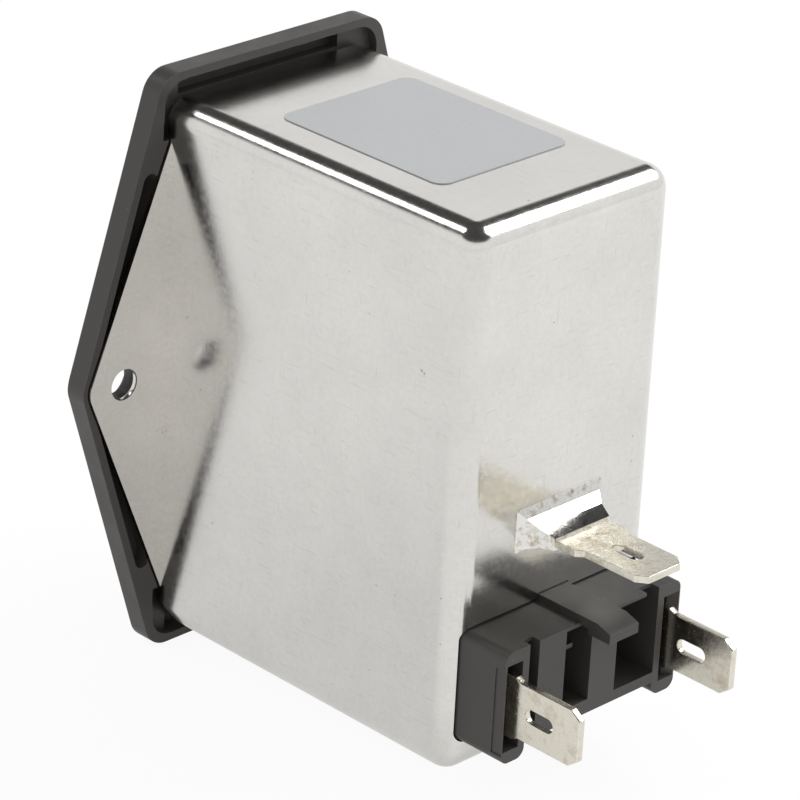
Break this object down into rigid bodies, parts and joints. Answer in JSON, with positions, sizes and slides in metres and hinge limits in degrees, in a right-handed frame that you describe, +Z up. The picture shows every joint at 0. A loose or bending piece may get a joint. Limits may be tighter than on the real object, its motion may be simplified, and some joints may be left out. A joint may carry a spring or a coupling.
{
  "type": "panel-mounted mains power entry filter",
  "caption": "Panel-mounted mains filter in a drawn steel can with a black bezel, an appliance inlet, a fuse drawer and a rocker switch in front, and blade tabs behind.",
  "frame": {"origin": "midpoint of the two panel screw holes, on the panel's front face, which is the rear face of the can's ears", "axes": "+Y points behind the panel, out of the can's terminal side; +Z is up, towards the face with the label; +X is to the right for someone who looks at the front of the panel, which looks towards -Y"},
  "size_m": [0.0506, 0.0661, 0.0658],
  "materials": {
    "tinned_steel": "satin tin plate over drawn steel, finely scratched",
    "black_plastic": "flame-retardant moulding, fine satin grain",
    "tin_contact": "tinned brass blade, slightly yellowish",
    "solder": "reflowed tin solder with flux at its edges",
    "label_film": "blank satin grey film",
    "switch_plastic": "glossy black thermoplastic",
    "bronze_spring": "bare spring bronze",
    "copper_contact": "copper alloy with a silvered contact",
    "spring_steel": "bright spring wire",
    "fuse_glass": "clear glass tube",
    "fuse_metal": "nickel-plated cap and fine wire",
    "board_laminate": "glass-epoxy laminate",
    "ferrite": "sintered ferrite with epoxy coat",
    "enamelled_copper": "enamelled copper wire",
    "capacitor_yellow": "moulded plastic case",
    "capacitor_blue": "epoxy-dipped disc",
    "resistor_body": "lacquered body",
    "insulating_film": "polyester film"
  },
  "bodies": {
    "base": {"can": "tinned_steel", "bezel": "black_plastic", "terminal_block": "black_plastic", "load_tab_line": "tin_contact", "load_tab_neutral": "tin_contact", "earth_tab": "tin_contact", "earth_solder": "solder", "label": "label_film", "pin_line": "tin_contact", "pin_neutral": "tin_contact", "pin_earth": "tin_contact", "earth_strap": "tin_contact", "switch_housing": "switch_plastic", "switch_common_line": "tin_contact", "switch_common_neutral": "tin_contact", "switch_out_line": "tin_contact", "switch_out_neutral": "tin_contact", "fuse_clip_line_front": "bronze_spring", "fuse_clip_line_rear": "bronze_spring", "fuse_clip_neutral_front": "bronze_spring", "fuse_clip_neutral_rear": "bronze_spring", "board": "board_laminate", "choke_core": "ferrite", "choke_divider": "insulating_film", "choke_winding_line": "enamelled_copper", "choke_winding_neutral": "enamelled_copper", "x_capacitor": "capacitor_yellow", "x_capacitor_leads": "fuse_metal", "y_capacitor_line": "capacitor_blue", "y_capacitor_neutral": "capacitor_blue", "y_leads_line": "fuse_metal", "y_leads_neutral": "fuse_metal", "bleed_resistor": "resistor_body", "bleed_leads": "fuse_metal", "liner": "insulating_film"},
    "rocker": {"rocker": "switch_plastic", "plunger_line": "copper_contact", "plunger_neutral": "copper_contact", "plunger_spring_line": "spring_steel", "plunger_spring_neutral": "spring_steel"},
    "drawer": {"fuse_drawer": "black_plastic", "fuse_tube_line": "fuse_glass", "fuse_tube_neutral": "fuse_glass", "fuse_cap_line_front": "fuse_metal", "fuse_cap_line_rear": "fuse_metal", "fuse_cap_neutral_front": "fuse_metal", "fuse_cap_neutral_rear": "fuse_metal", "fuse_wire_line": "fuse_metal", "fuse_wire_neutral": "fuse_metal"},
    "lever_line": {"contact_lever_line": "copper_contact"},
    "lever_neutral": {"contact_lever_neutral": "copper_contact"}
  },
  "joints": [
    {"name": "rocker_tilt", "type": "hinge", "parent": "base", "child": "rocker", "pos_m": [0, 0.0007, 0.0156], "axis": [1, 0, 0], "range_deg": [0, 20]},
    {"name": "drawer_slide", "type": "slide", "parent": "base", "child": "drawer", "axis": [0, -1, 0], "range_m": [0, 0.022]},
    {"name": "lever_line_tip", "type": "hinge", "parent": "base", "child": "lever_line", "pos_m": [0.005, 0.01025, 0.0156], "axis": [-1, 0, 0], "range_deg": [0, 10]},
    {"name": "lever_neutral_tip", "type": "hinge", "parent": "base", "child": "lever_neutral", "pos_m": [-0.005, 0.01025, 0.0156], "axis": [-1, 0, 0], "range_deg": [0, 10]}
  ],
  "couplings": [
    {"joint": "lever_line_tip", "follows": "rocker_tilt", "ratio": 0.5},
    {"joint": "lever_neutral_tip", "follows": "rocker_tilt", "ratio": 0.5}
  ]
}
